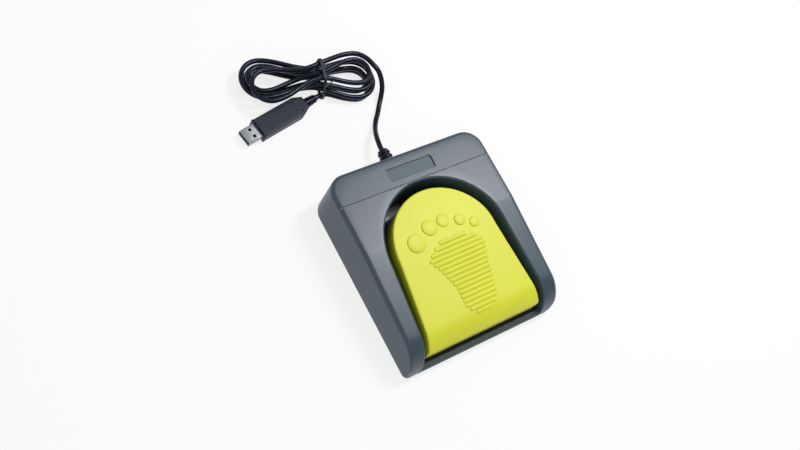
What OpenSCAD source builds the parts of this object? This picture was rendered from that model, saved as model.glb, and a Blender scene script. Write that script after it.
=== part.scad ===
// Foot pedal switch on a USB lead: a yellow treadle hinged in a grey housing works a snap-action
// switch, and the lead, bundled in a tied hank, ends in a plug that holds the small circuit board.
// Origin on the table under the middle of the housing, X to the right, Y to the rear, Z up.

/* [Housing] */
// Width of the housing, side to side
body_w = 127; // [118:1:150]
// Length of the housing, front to rear
body_l = 140; // [134:1:165]
// Height of the flat rear top above the table
body_h = 37; // [35:0.5:46]
// Wall thickness of the housing
wall = 2.5; // [2:0.1:3.2]
// Radius of the rear corners, seen from above
rear_corner_r = 14; // [8:1:18]
// Radius of the front corners, seen from above
front_corner_r = 4; // [3.5:0.5:6]
// Rounding along the top outer edges
edge_r = 3; // [1.5:0.5:4]
// Distance from the front face to the bend across the top
bend_front = 81.5; // [74:0.5:90]
// Drop of the top from the bend to the nose
slope_drop = 5.7; // [3:0.1:7]
// Length of the rounded nose at the front of each arm
nose_l = 20; // [16:1:24]
// Distance from the rear face to the groove across the top
groove_back = 22.8; // [18:0.2:23]
// Width of that groove
groove_w = 0.8; // [0.5:0.1:1.2]
// Depth of that groove
groove_depth = 0.6; // [0.3:0.1:1]
// Height of the low bar across the front
front_bar_h = 8; // [6:0.5:10]
// Thickness of the low bar across the front
front_bar_t = 4; // [3:0.5:5]
// Width of each arm beside the pedal, at the front
arm_front_w = 11.5; // [11:0.5:14]
// Width of each arm at the centre of the arch
arm_rear_w = 16; // [14:0.5:19]
// Distance from the rear face to the top of the arch
arch_back = 24; // [23.6:0.2:27]
// Thickness of the wall that hangs down round the opening
rim_wall = 2; // [1.6:0.1:2.4]

/* [Label recess] */
// Width of the bare label recess
label_w = 38; // [20:1:60]
// Length of the label recess, front to rear
label_l = 10; // [6:0.5:11]
// Depth of the label recess
label_depth = 1.1; // [0.3:0.1:1.5]
// Distance from the rear face to the label recess
label_back = 8.5; // [6:0.5:10]
// Corner radius of the label recess
label_r = 1.5; // [0.5:0.25:2.5]

/* [Base plate] */
// Thickness of the base plate
base_t = 2.5; // [2:0.1:3]
// Gap between the base plate and the housing walls
base_fit = 0.3; // [0.2:0.05:0.5]
// Height that the rubber feet stand proud
foot_proud = 1.5; // [1:0.1:2.5]
// Diameter of a rubber foot
foot_d = 12; // [8:0.5:13]
// Depth of the pocket that holds a foot
foot_pocket = 1; // [0.6:0.1:1.4]
// Distance of the feet from the sides of the housing
foot_side = 15.5; // [14:0.5:20]
// Diameter of the case screws
case_screw_d = 3; // [2.5:0.1:3.5]
// Diameter of the case screw heads
case_head_d = 5.6; // [5:0.1:6]
// Diameter of the rear screw bosses in the housing
boss_d = 7; // [6.4:0.2:8]

/* [Pedal] */
// Gap between the pedal and the arch at the rear
pedal_gap_back = 6.5; // [5:0.25:8]
// Gap between the pedal and each arm at the front
pedal_gap_side = 4; // [3:0.25:5]
// Distance of the pedal's front edge behind the housing's front face
pedal_setback = 5; // [4:0.5:8]
// Height of the housing top above the pedal top
pedal_drop = 2; // [1:0.25:3]
// Wall thickness of the pedal
pedal_t = 2.5; // [2:0.1:3]
// Rounding along the pedal's top edges
pedal_edge_r = 3.5; // [2:0.25:4.5]
// Height of the skirt's lower edge at the rear
skirt_back_z = 15.6; // [14.5:0.2:17]
// Height of the skirt's lower edge at the front
skirt_front_z = 7.5; // [7:0.25:8]
// Angle that the pedal travels
pedal_travel = 5; // [4:0.25:5.5]
// Height of the moulded toe discs and sole ribs
print_rise = 0.9; // [0.4:0.1:1.2]
// Distance between the sole ribs
rib_pitch = 3.3; // [3:0.1:4]
// Diameter of a sole rib
rib_d = 2.4; // [1.8:0.1:2.8]

/* [Hinge] */
// Distance of the hinge pin from the front face
hinge_front = 14; // [13:0.5:16]
// Height of the hinge pin above the table
hinge_z = 13; // [12.5:0.25:14]
// Diameter of the hinge pin
pin_d = 4; // [3:0.25:4.5]
// Running clearance of the pin in the bushes, all round
pin_clear = 0.05; // [0.02:0.01:0.1]
// Wall thickness of the bushes
bush_t = 1.2; // [0.8:0.1:1.4]
// Distance of the middle of each base lug from the centre
lug_x = 36; // [33:0.5:37]
// Thickness of the base lugs and of the pedal ears
lug_t = 5; // [4:0.25:5.5]

/* [Springs] */
// Distance of each return spring from the centre
spring_x = 24; // [20:0.5:26]
// Distance of the springs behind the hinge pin
spring_y = 61; // [55:0.5:63]
// Outside diameter of a spring
spring_d = 10; // [9:0.25:12]
// Wire diameter of a spring
spring_wire = 1.1; // [0.8:0.1:1.4]
// Height of a spring at rest
spring_h = 18; // [16:0.5:19]
// Number of turns of a spring
spring_turns = 6; // [5:1:7]

/* [Switch] */
// Length of the switch case
switch_l = 27.8; // [26:0.2:29]
// Width of the switch case
switch_w = 10.3; // [9:0.1:11]
// Height of the switch case
switch_h = 15.9; // [15:0.1:16.5]
// Distance of the switch's middle behind the hinge pin
switch_y = 38; // [37:0.25:39]
// Height of the stand that carries the switch
switch_stand = 2; // [1.5:0.25:3]
// Diameter of the switch screws
switch_screw_d = 2.6; // [2:0.1:3]
// Diameter of the switch plunger
plunger_d = 3; // [2.5:0.1:3.4]
// Width of the switch lever
lever_w = 4; // [3:0.25:5]
// Length of the switch lever
lever_l = 22; // [21:0.25:23]
// Thickness of the switch lever
lever_t = 0.6; // [0.4:0.1:0.8]
// Angle of the lever above the case at rest
lever_rest = 10; // [9.5:0.25:10.5]

/* [Cable] */
// Diameter of the cable
cable_d = 3.8; // [3.2:0.1:4]
// Height of the cable where it leaves the housing
cable_z = 13; // [11:0.5:16]
// Length of the strain relief outside the housing
relief_l = 14; // [10:0.5:18]
// Diameter of the strain relief at the housing
relief_d = 11.5; // [9.5:0.25:12]
// Diameter of the strain relief at its tip
relief_tip_d = 9; // [7:0.2:9.4]
// Straight length of the hank between its two folds
hank_run = 70; // [62:1:74]
// Amount that the runs are drawn in at the waist of the hank
hank_draw = 7.2; // [6:0.2:7.4]
// Thickness of the tie round the waist
tie_t = 0.9; // [0.6:0.1:1.2]
// Width of the tie round the waist
tie_w = 2.2; // [1.5:0.1:3]

/* [Plug] */
// Length of the plug case
plug_l = 43.5; // [40:0.5:46]
// Width of the plug case
plug_w = 15.4; // [14.8:0.2:17]
// Height of the plug case
plug_h = 8.8; // [8.4:0.1:10]
// Chamfer of the plug case's rear corners
plug_chamfer = 7; // [4:0.5:8]
// Depth of the cut corners across the plug, from each side
plug_chamfer_in = 3; // [2:0.25:4]
// Wall thickness of the plug case
plug_wall = 1.2; // [1:0.1:1.4]
// Length of the plug's strain relief
boot_l = 10.5; // [8:0.5:12]
// Width of the USB shell
usb_w = 12; // [11.8:0.1:12.2]
// Height of the USB shell
usb_h = 4.5; // [4.4:0.05:4.6]
// Length of the USB shell outside the plug case
usb_l = 12; // [11:0.25:13]
// Sheet thickness of the USB shell
usb_t = 0.3; // [0.25:0.05:0.4]

/* [Hidden] */
$fn = 48;
touch = 0.02;
clear = 0.3;
over = 1;

y_front = -body_l / 2;
y_back = body_l / 2;
y_bend = y_front + bend_front;
y_nose = y_front + nose_l;
slope = slope_drop / (y_bend - y_nose);
nose_low = foot_proud + 2;
base_top = foot_proud + base_t;
front_bar_top = foot_proud + front_bar_h;
rim_wall_z = base_top + clear;

open_r = body_w / 2 - arm_rear_w;
open_front = body_w / 2 - arm_front_w;
arch_y = y_back - arch_back - open_r;

pedal_r = open_r - pedal_gap_back;
pedal_front = y_front + pedal_setback;

hinge_y = y_front + hinge_front;
ear_x = lug_x + lug_t + clear;
ear_r = 4.5;
bush_d = pin_d + 2 * pin_clear + 2 * bush_t;
pin_l = 2 * (ear_x + lug_t / 2);
clip_cut = 0.4;
clip_rim = 2;
groove_pin_d = pin_d - 2 * clip_cut;
clip_t = 0.8;
clip_x = lug_x - lug_t / 2 - clip_t / 2 - 0.1;
lug_r = 5;

spring_base_z = base_top + touch;
seat_z = spring_base_z + spring_h + touch;
spigot_d = spring_d - 2 * spring_wire - 0.8;
spigot_h = 5;
seat_d = spring_d + 2;

stop_x = 14;
stop_d = 10;
stop_h = 6;
stop_taper = 1.5;
stop_post_d = 8;
stop_clear = 1.5;
stop_reach = pedal_r - pedal_t - stop_d / 2 - stop_clear;
stop_y = arch_y + sqrt(stop_reach * stop_reach - stop_x * stop_x);
stop_post_z = base_top + stop_h + (stop_y - hinge_y) * sin(pedal_travel) + 0.8;

tab_h = 3;
tab_w = 2;
tab_hold = 1.5;
ledge_w = 3;
ledge_reach = pedal_r * 0.84;
ledge_z = skirt_back_z + tab_h + 0.4;
ledge_gap = (body_h - hinge_z) * sin(pedal_travel);

switch_y0 = hinge_y + switch_y;
switch_z = base_top + switch_stand;
switch_top = switch_z + switch_h;
pivot_y = switch_y0 - 11.5;
pivot_z = switch_top + 1.8;
pivot_d = 1.4;
pivot_clear = 0.05;
plunger_y = pivot_y + 6;
plunger_clear = 0.08;
plunger_l = 6;
plunger_top = pivot_z + (plunger_y - pivot_y) * tan(lever_rest) - 0.4;
actuator_y = hinge_y + 44;
actuator_l = 3;
actuator_w = 8;
actuator_z = pivot_z + (actuator_y + actuator_l / 2 - pivot_y) * tan(lever_rest) + lever_t + 0.4;
bracket_t = 3;
switch_bolt_y = 11.1;
switch_bolt_z = [3, 11];
terminal_z = [3.5, 7.5, 11.5];
terminal_l = 7;
terminal_w = 3.2;
terminal_t = 0.6;

clamp_back = 12;
clamp_y = y_back - clamp_back;
clamp_l = 6;
clamp_w = 20;
clamp_h = 4.5;
clamp_bolt_x = 6.6;
clamp_screw_d = 2.6;
clamp_head_d = 5;
clamp_head_h = 1.8;
inner_back = 18;
inner_end_y = y_back - inner_back;
relief_flange_t = 2;
relief_neck_d = 8;
relief_fit = 0.1;
relief_tip_y = y_back + relief_l;
wire_d = 1.2;
wire_bend = 12;
wire_apart = 3;
wire_gate_w = 10;
wire_gate_z = 12;

foot_xs = body_w / 2 - foot_side;
foot_front = 22;
foot_back = 28;
foot_fit = 0.2;
foot_taper = 0.6;
foot_ys = [y_front + foot_front, y_back - foot_back];
screw_front = 15.5;
screw_back = 12;
screw_ys = [y_front + screw_front, y_back - screw_back];
arm_in = open_half(screw_ys[0]) + rim_wall;
arm_out = body_w / 2 - wall;
screw_xs = [(arm_in + arm_out) / 2, body_w / 2 - rear_corner_r + 2];
boss_ds = [arm_out - arm_in + 1, boss_d];
screw_pilot_l = 12;

// Toe discs: middle across, middle along, diameter
toes = [[-23.5, 6, 13.6], [-9, 12.8, 11.8], [2.8, 13.8, 9.6], [15.4, 10.2, 8.6], [25, 4.8, 7.2]];
// Left and right edge of the sole print, against the distance along the pedal
sole_left = [[-54, -3], [-51, -8], [-46, -11], [-33, -11], [-20, -15.5], [-10, -21], [-5, -17], [1, -6]];
sole_right = [[-54, 6], [-51, 12], [-46, 16.5], [-33, 19.3], [-20, 22.6], [-9, 27], [-3, 22], [1, 13]];
sole_ribs = 17;

// Route of the cable from the strain relief to the hank: across, behind the relief's tip, height
lie = cable_d / 2 + 0.1;
tail_route = [
    [0, 0, cable_z], [0.2, 4, cable_z], [1.2, 8, 12.2], [3.5, 13, 9.6], [6.6, 18, 6.2], [10.2, 23, 3.2],
    [14, 28, lie], [18, 32.5, lie], [22.3, 38, lie], [26.4, 43.5, 3.6], [29.4, 49, 7], [30.3, 55, 11],
    [29.4, 60.5, 14.3]
];

// Hank of four layers of loops, with three folds a layer and each layer leaning its own way about
// the tie; the lists run from the top layer, where the tail comes in, to the one that feeds the plug
hank_turn = -13;
hank_at = [-22.3, y_back + 85.9];
hank_half = hank_run / 2;
hank_step = cable_d + 1.5;
hank_layer = cable_d + 0.65;
hank_r_in = 2.6 * cable_d;
hank_folds = 11;
hank_top = 3;
hank_lean_right = [1, -1, -3, -7];
hank_lean_left = [8, -3, -4, -6];
hank_left_more = [-1, 1, -1, 2];
hank_start = 2 / 3;
hank_start_angle = 180 * hank_start - 90;
tie_u = 8;
tie_fit = 0.65;
tie_lift = tie_t + tie_fit + 0.3;
waist_l = 26;

plug_turn = 11.5;
plug_at = [-76, y_back + 61.9];
plug_mid = plug_h / 2;
boot_d = 8;
boot_tip_d = 6;
boot_neck_d = 4.6;
boot_neck_l = 3;
usb_in = 6;
board_gap = 0.2;
board_end_gap = 0.5;
board_l = plug_l - plug_chamfer - usb_in - board_gap - board_end_gap;
board_w = plug_w - 2 * plug_wall - 0.6;
board_t = 1;
lip_l = 1.2;
lip_out = 0.4;

// Height of the housing's top at a place along it: flat, then sloping, then the rounded nose
function slope_z(y) = body_h - slope * max(0, y_bend - y);
function nose_fall(t) = (slope_z(y_front) - nose_low) * (1 - sqrt(1 - t * t));
function top_z(y) = slope_z(y) - nose_fall(max(0, min(1, (y_nose - y) / nose_l)));
function pedal_z(y) = top_z(y) - pedal_drop;
function skirt_z(y) = skirt_front_z
    + (skirt_back_z - skirt_front_z) * (y - pedal_front) / (arch_y + pedal_r - pedal_front);
function open_half(y) = open_r + (open_front - open_r) * (arch_y - y) / (arch_y - y_front);

// Right half of the housing's outline, from rear to front, drawn in by an inset
function corner_r(r, inset) = max(r - inset, 0.5);
function housing_half(inset) =
    let (rear = corner_r(rear_corner_r, inset), front = corner_r(front_corner_r, inset),
         x = body_w / 2 - inset)
    concat(
        [for (a = [90 : -15 : 0]) [x - rear + rear * cos(a), y_back - inset - rear + rear * sin(a)]],
        [for (y = [y_bend, (y_bend + y_nose) / 2, y_nose]) [x, y]],
        [for (a = [15, 30, 42]) [x, y_nose - nose_l * sin(a)]],
        [for (a = [0 : -30 : -90]) [x - front + front * cos(a), y_front + inset + front + front * sin(a)]]
    );

// Right half of the pedal's outline, from rear to front, drawn in by an inset
function pedal_half_w(y) = pedal_r + (open_half(pedal_front) - pedal_gap_side - pedal_r)
    * (arch_y - y) / (arch_y - pedal_front);
function pedal_half(inset) =
    let (r = pedal_r - inset, front = pedal_front + min(inset, pedal_t))
    concat(
        [for (a = [86, 78, 70, 60, 50, 40, 30, 20, 10]) [r * cos(a), arch_y + r * sin(a)]],
        [for (y = [arch_y, arch_y - 15, arch_y - 32, y_nose]) [pedal_half_w(y) - inset, y]],
        [for (a = [15, 28]) let (y = y_nose - nose_l * sin(a)) [pedal_half_w(y) - inset, y]],
        [[pedal_half_w(front) - inset, front]]
    );

// Closed ring of points: the right half outline and its mirror image, each at its own height
function ring(half, height) = concat(
    [for (p = half) [p.x, p.y, height(p.y)]],
    [for (k = [len(half) - 1 : -1 : 0]) [-half[k].x, half[k].y, height(half[k].y)]]
);

// Solid between stacked rings, closed across from side to side at its top and its bottom
module cap(rings) {
    m = len(rings[0]);
    n = m / 2;
    top = (len(rings) - 1) * m;
    sides = [for (j = [0 : len(rings) - 2], i = [0 : m - 1], half = [0, 1])
        let (a = j * m + i, b = j * m + (i + 1) % m)
        half == 0 ? [a, b, b + m] : [a, b + m, a + m]];
    roof = [for (k = [0 : n - 2], half = [0, 1])
        half == 0 ? [top + k, top + k + 1, top + m - 2 - k] : [top + k, top + m - 2 - k, top + m - 1 - k]];
    floor = [for (k = [0 : n - 2], half = [0, 1])
        half == 0 ? [k, m - 2 - k, k + 1] : [k, m - 1 - k, m - 2 - k]];
    polyhedron(points = [for (r = rings) each r], faces = concat(sides, roof, floor));
}

// Rings of a rounded-over cap: outline, top height, bottom height, edge rounding
function cap_rings(half, height, bottom, inset, r) = concat(
    [ring(half(inset), bottom)],
    [for (a = [0, 30, 60, 90])
        ring(half(inset + r * (1 - cos(a))),
             function(y) height(y) - min(r, (height(y) - bottom(y)) / 2) * (1 - sin(a)))]
);

// Opening of the housing seen from above, grown outwards, reaching forward to front_y
module opening_outline(grow, front_y) {
    translate([0, arch_y]) circle(r = open_r + grow);
    polygon([
        [open_r + grow, arch_y], [open_half(front_y) + grow, front_y],
        [-open_half(front_y) - grow, front_y], [-open_r - grow, arch_y]
    ]);
}

// Rectangle with round corners, true arcs
module round_rect(w, l, r) {
    square([w - 2 * r, l], center = true);
    square([w, l - 2 * r], center = true);
    for (x = [-1, 1], y = [-1, 1]) translate([x * (w / 2 - r), y * (l / 2 - r)]) circle(r = r);
}

// Two short bars across the corners of the arch, between two radii about its centre
module arch_bars(r0, r1, w, h) {
    translate([0, arch_y, 0]) intersection() {
        difference() {
            cylinder(r = r1, h = h);
            translate([0, 0, -over]) cylinder(r = r0, h = h + 2 * over);
        }
        translate([-r1, ledge_reach - w / 2, 0]) cube([2 * r1, w, h]);
    }
}

module at_screws() {
    for (s = [-1, 1], k = [0, 1]) translate([s * screw_xs[k], screw_ys[k], 0]) children();
}

module upper_housing() {
    color("#6d777e") {
        difference() {
            cap(cap_rings(function(i) housing_half(i), function(y) top_z(y),
                 function(y) foot_proud, 0, edge_r));
            difference() {
                cap(cap_rings(function(i) housing_half(i), function(y) top_z(y - wall) - wall,
                              function(y) foot_proud - over, wall, edge_r));
                translate([0, 0, rim_wall_z]) linear_extrude(body_h)
                    opening_outline(rim_wall, y_front - over);
                for (s = [-1, 1], k = [0, 1])
                    translate([s * screw_xs[k], screw_ys[k], base_top])
                        cylinder(d = boss_ds[k], h = body_h);
            }
            translate([0, 0, front_bar_top]) linear_extrude(body_h) opening_outline(0, y_front - over);
            linear_extrude(body_h + over) opening_outline(0, y_front + front_bar_t);
            translate([0, 0, base_top - over]) at_screws()
                cylinder(d = case_screw_d, h = screw_pilot_l + over);
            translate([0, y_back - groove_back, body_h])
                cube([body_w + over, groove_w, 2 * groove_depth], center = true);
            translate([0, y_back - label_back - label_l / 2, body_h - label_depth])
                linear_extrude(label_depth + over) round_rect(label_w, label_l, label_r);
            translate([0, y_back - wall - over, cable_z]) rotate([-90, 0, 0])
                cylinder(d = relief_neck_d + relief_fit, h = wall + 2 * over);
            translate([-wire_gate_w / 2, arch_y + open_r - over, 0])
                cube([wire_gate_w, rim_wall + 2 * over, wire_gate_z]);
        }
        translate([0, 0, ledge_z]) arch_bars(pedal_r + ledge_gap, open_r + rim_wall / 2, ledge_w, tab_h);
    }
}

// Outline of the base plate inside the housing walls
module base_outline() {
    side = wall + base_fit;
    w = body_w - 2 * side;
    front = y_front + front_bar_t + base_fit;
    rear = y_back - side;
    r = rear_corner_r - side;
    translate([-w / 2, front]) square([w, rear - r - front]);
    translate([-w / 2 + r, front]) square([w - 2 * r, rear - front]);
    for (x = [-1, 1]) translate([x * (w / 2 - r), rear - r]) circle(r = r);
}

module base_lug() {
    translate([-lug_t / 2, hinge_y - lug_r, base_top - touch]) cube([lug_t, 2 * lug_r, hinge_z - base_top]);
    translate([-lug_t / 2, hinge_y, hinge_z]) rotate([0, 90, 0]) cylinder(r = lug_r, h = lug_t);
}

module at_switch_bolts() {
    for (k = [0, 1])
        translate([0, switch_y0 + (2 * k - 1) * switch_bolt_y, switch_z + switch_bolt_z[k]])
            rotate([0, 90, 0]) children();
}

module at_clamp_bolts() {
    for (x = [-1, 1]) translate([x * clamp_bolt_x, clamp_y, 0]) children();
}

module base_plate() {
    color("#4b5257") difference() {
        union() {
            translate([0, 0, foot_proud]) linear_extrude(base_t) base_outline();
            for (s = [-1, 1]) {
                translate([s * lug_x, 0, 0]) base_lug();
                translate([s * spring_x, hinge_y + spring_y, base_top - touch])
                    cylinder(d = spigot_d, h = spigot_h);
            }
            translate([-switch_w / 2, switch_y0 - switch_l / 2, base_top - touch])
                cube([switch_w + bracket_t, switch_l, switch_stand + touch]);
            translate([switch_w / 2, switch_y0 - switch_l / 2, base_top - touch])
                cube([bracket_t, switch_l, switch_stand + switch_bolt_z[1] + 3]);
            translate([-clamp_w / 2, clamp_y - clamp_l / 2, base_top - touch])
                cube([clamp_w, clamp_l, cable_z - base_top + touch]);
        }
        for (s = [-1, 1])
            translate([s * lug_x - lug_t, hinge_y, hinge_z]) rotate([0, 90, 0])
                cylinder(d = pin_d, h = 2 * lug_t);
        for (s = [-1, 1], y = foot_ys)
            translate([s * foot_xs, y, foot_proud - over]) cylinder(d = foot_d, h = foot_pocket + over);
        at_screws() {
            cylinder(d = case_screw_d + 0.4, h = base_top + over);
            cylinder(d = case_head_d + 0.4, h = foot_proud + 1.2);
        }
        translate([switch_w / 2 - over, 0, 0]) at_switch_bolts()
            cylinder(d = switch_screw_d, h = bracket_t + 2 * over);
        translate([0, clamp_y - clamp_l, cable_z]) rotate([-90, 0, 0])
            cylinder(d = cable_d, h = 2 * clamp_l);
        translate([0, 0, base_top]) at_clamp_bolts() cylinder(d = clamp_screw_d, h = cable_z);
    }
}

// Place on the pedal's top, tilted with the slope there
module on_pedal(x, y) {
    translate([x, y, pedal_z(y)]) rotate([y < y_bend ? atan(slope) : 0, 0, 0]) children();
}

module foot_print() {
    for (t = toes) on_pedal(t.x, t.y) translate([0, 0, -over]) cylinder(d = t.z, h = print_rise + over);
    for (k = [0 : sole_ribs - 1]) {
        y = -rib_pitch * k;
        from = lookup(y, sole_left);
        to = lookup(y, sole_right);
        on_pedal(from, y) translate([0, 0, print_rise - rib_d / 2]) rotate([0, 90, 0])
            cylinder(d = rib_d, h = to - from, $fn = 16);
    }
}

// Ears, spring seats, stop posts and switch actuator moulded under the pedal
module pedal_features() {
    for (s = [-1, 1]) {
        translate([s * ear_x - lug_t / 2, hinge_y, hinge_z]) rotate([0, 90, 0])
            cylinder(r = ear_r, h = lug_t);
        translate([s * ear_x - lug_t / 2, hinge_y - ear_r, hinge_z]) cube([lug_t, 2 * ear_r, body_h]);
        translate([s * spring_x, hinge_y + spring_y, seat_z]) cylinder(d = seat_d, h = body_h);
        translate([s * spring_x, hinge_y + spring_y, seat_z - spigot_h]) cylinder(d = spigot_d, h = body_h);
        translate([s * stop_x, stop_y, stop_post_z]) cylinder(d = stop_post_d, h = body_h);
    }
    translate([-actuator_w / 2, actuator_y - actuator_l / 2, actuator_z])
        cube([actuator_w, actuator_l, body_h]);
}

module pedal() {
    color("#e8e34f") {
        difference() {
            union() {
                cap(cap_rings(function(i) pedal_half(i), function(y) pedal_z(y),
                     function(y) skirt_z(y), 0, pedal_edge_r));
                foot_print();
            }
            difference() {
                cap(cap_rings(function(i) pedal_half(i), function(y) pedal_z(y - pedal_t / 2) - pedal_t,
                              function(y) skirt_z(y) - over, pedal_t, pedal_edge_r));
                pedal_features();
            }
            for (s = [-1, 1])
                translate([s * ear_x - lug_t, hinge_y, hinge_z]) rotate([0, 90, 0])
                    cylinder(d = bush_d, h = 2 * lug_t);
        }
        translate([0, 0, skirt_back_z])
            arch_bars(pedal_r - pedal_t / 2, pedal_r + ledge_gap + tab_hold, tab_w, tab_h);
    }
}

module hinge_pin() {
    color("#c9ccd0") translate([0, hinge_y, hinge_z]) rotate([0, 90, 0]) difference() {
        cylinder(d = pin_d, h = pin_l, center = true);
        for (s = [-1, 1]) translate([0, 0, s * clip_x]) difference() {
            cylinder(d = pin_d + over, h = clip_t + 0.1, center = true);
            cylinder(d = groove_pin_d, h = 2 * clip_t, center = true);
        }
    }
}

module hinge_clips() {
    color("#8d9196") for (s = [-1, 1])
        translate([s * clip_x, hinge_y, hinge_z]) rotate([0, 90, 0]) difference() {
            cylinder(d = pin_d + 2 * clip_rim, h = clip_t, center = true);
            cylinder(d = groove_pin_d + 0.04, h = 2 * clip_t, center = true);
            translate([0, pin_d, 0]) cube([groove_pin_d * 0.8, 2 * pin_d, 2 * clip_t], center = true);
        }
}

module pedal_bushes() {
    color("#f2f0e6") for (s = [-1, 1])
        translate([s * ear_x, hinge_y, hinge_z]) rotate([0, 90, 0]) difference() {
            cylinder(d = bush_d, h = lug_t, center = true);
            cylinder(d = pin_d + 2 * pin_clear, h = 2 * lug_t, center = true);
        }
}

// Points round a tube of given sides, at one point of its path and square to its direction
function unit(v) = v / norm(v);
function tube_ring(p, dir, r, sides) =
    let (side = unit(cross(dir, abs(dir.z) > 0.95 ? [1, 0, 0] : [0, 0, 1])), up = cross(side, dir))
    [for (k = [0 : sides - 1]) p + r * (cos(360 * k / sides) * side + sin(360 * k / sides) * up)];
function path_dir(path, k) = unit(path[min(k + 1, len(path) - 1)] - path[max(k - 1, 0)]);

// Tube swept along a path, closed at both ends; the end faces are square to the given directions
module tube(path, d, sides, from = undef, to = undef) {
    last = len(path) - 1;
    dirs = [for (k = [0 : last])
        k == 0 && !is_undef(from) ? from : k == last && !is_undef(to) ? to : path_dir(path, k)];
    points = [for (k = [0 : last]) each tube_ring(path[k], dirs[k], d / 2, sides)];
    walls = [for (j = [0 : last - 1], i = [0 : sides - 1], half = [0, 1])
        let (a = j * sides + i, b = j * sides + (i + 1) % sides)
        half == 0 ? [a, b + sides, b] : [a, a + sides, b + sides]];
    ends = [for (i = [1 : sides - 2], half = [0, 1])
        half == 0 ? [0, i, i + 1] : [last * sides, last * sides + i + 1, last * sides + i]];
    polyhedron(points = points, faces = concat(walls, ends));
}

module return_spring(x) {
    mid_r = (spring_d - spring_wire) / 2;
    rise = spring_h - spring_wire;
    color("#b9bcc0") translate([x, hinge_y + spring_y, spring_base_z + spring_wire / 2])
        tube([for (k = [0 : 8 * spring_turns])
            [mid_r * cos(45 * k), mid_r * sin(45 * k), rise * k / (8 * spring_turns)]], spring_wire, 6);
}

module return_spring_left() {
    return_spring(-spring_x);
}

module return_spring_right() {
    return_spring(spring_x);
}

module switch_case() {
    ear_t = 1;
    color("#2b2d30") difference() {
        union() {
            translate([-switch_w / 2, switch_y0 - switch_l / 2, switch_z])
                cube([switch_w, switch_l, switch_h]);
            for (s = [-1, 1])
                translate([s * (lever_w / 2 + 0.3 + ear_t / 2) - ear_t / 2, pivot_y - 1.5,
                           switch_top - touch])
                    cube([ear_t, 3, pivot_z - switch_top + 1.5]);
        }
        translate([0, plunger_y, switch_top - 8]) cylinder(d = plunger_d + 2 * plunger_clear, h = 8 + over);
        translate([-switch_w, pivot_y, pivot_z]) rotate([0, 90, 0])
            cylinder(d = pivot_d + 2 * pivot_clear, h = 2 * switch_w);
        translate([-switch_w / 2 - over, 0, 0]) at_switch_bolts()
            cylinder(d = switch_screw_d + 0.4, h = switch_w + 2 * over);
    }
}

module switch_plunger() {
    color("#b23a2e") translate([0, plunger_y, plunger_top - plunger_l])
        cylinder(d = plunger_d, h = plunger_l);
}

module switch_lever() {
    pin_len = lever_w + 2.4;
    color("#c2c5c9") translate([0, pivot_y, pivot_z]) {
        translate([-pin_len / 2, 0, 0]) rotate([0, 90, 0]) cylinder(d = pivot_d, h = pin_len);
        rotate([lever_rest, 0, 0]) translate([-lever_w / 2, 0, 0]) cube([lever_w, lever_l, lever_t]);
    }
}

module switch_terminals() {
    color("#c8a24a") for (z = terminal_z)
        translate([-terminal_w / 2, switch_y0 + switch_l / 2, switch_z + z])
            cube([terminal_w, terminal_l, terminal_t]);
}

module switch_screws() {
    color("#b4b7ba") translate([-switch_w / 2, 0, 0]) at_switch_bolts() {
        cylinder(d = switch_screw_d, h = switch_w + bracket_t);
        translate([0, 0, -1.6]) cylinder(d = 4.6, h = 1.6);
    }
}

module bump_stops() {
    color("#26282a") for (s = [-1, 1])
        translate([s * stop_x, stop_y, base_top]) {
            cylinder(d = stop_d, h = stop_h - stop_taper);
            translate([0, 0, stop_h - stop_taper])
                cylinder(d1 = stop_d, d2 = stop_d - 2 * stop_taper, h = stop_taper);
        }
}

module rubber_feet() {
    color("#242628") for (s = [-1, 1], y = foot_ys) translate([s * foot_xs, y, 0]) {
        cylinder(d1 = foot_d - 2 * (foot_fit + foot_taper), d2 = foot_d - 2 * foot_fit, h = foot_proud);
        translate([0, 0, foot_proud - touch]) cylinder(d = foot_d - 2 * foot_fit, h = foot_pocket + touch);
    }
}

module case_screws() {
    color("#9a9da0") at_screws() {
        translate([0, 0, foot_proud]) cylinder(d = case_head_d, h = 1.2);
        translate([0, 0, foot_proud + 1]) cylinder(d = case_screw_d, h = screw_pilot_l);
    }
}

// Moulded strain relief: inner flange, neck through the wall, ribbed cone outside
module strain_relief() {
    ribs = 4;
    pitch = relief_l / ribs;
    function cone_r(y) = (relief_d + (relief_tip_d - relief_d) * y / relief_l) / 2;
    profile = concat(
        [[cable_d / 2, -wall - relief_flange_t], [relief_d / 2, -wall - relief_flange_t],
             [relief_d / 2, -wall],
         [relief_neck_d / 2, -wall], [relief_neck_d / 2, 0]],
        [for (k = [0 : ribs - 1]) each [
            [cone_r(k * pitch), k * pitch], [cone_r((k + 0.6) * pitch), (k + 0.6) * pitch],
            [cone_r((k + 0.6) * pitch) - 0.9, (k + 0.6) * pitch],
                 [cone_r((k + 1) * pitch) - 0.6, (k + 1) * pitch]]],
        [[cable_d / 2, relief_l]]
    );
    color("#222427") translate([0, y_back, cable_z]) rotate([-90, 0, 0]) rotate_extrude() polygon(profile);
}

// Straight end of the cable inside: through the strain relief and the clamp
module inner_cable() {
    color("#26282b") translate([0, inner_end_y, cable_z]) rotate([-90, 0, 0])
        cylinder(d = cable_d, h = relief_tip_y - inner_end_y);
}

module cable_clamp() {
    color("#4b5257") difference() {
        translate([-clamp_w / 2, clamp_y - clamp_l / 2, cable_z]) cube([clamp_w, clamp_l, clamp_h]);
        translate([0, clamp_y - clamp_l, cable_z]) rotate([-90, 0, 0])
            cylinder(d = cable_d, h = 2 * clamp_l);
        at_clamp_bolts() cylinder(d = clamp_screw_d + 0.4, h = body_h);
    }
}

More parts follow.
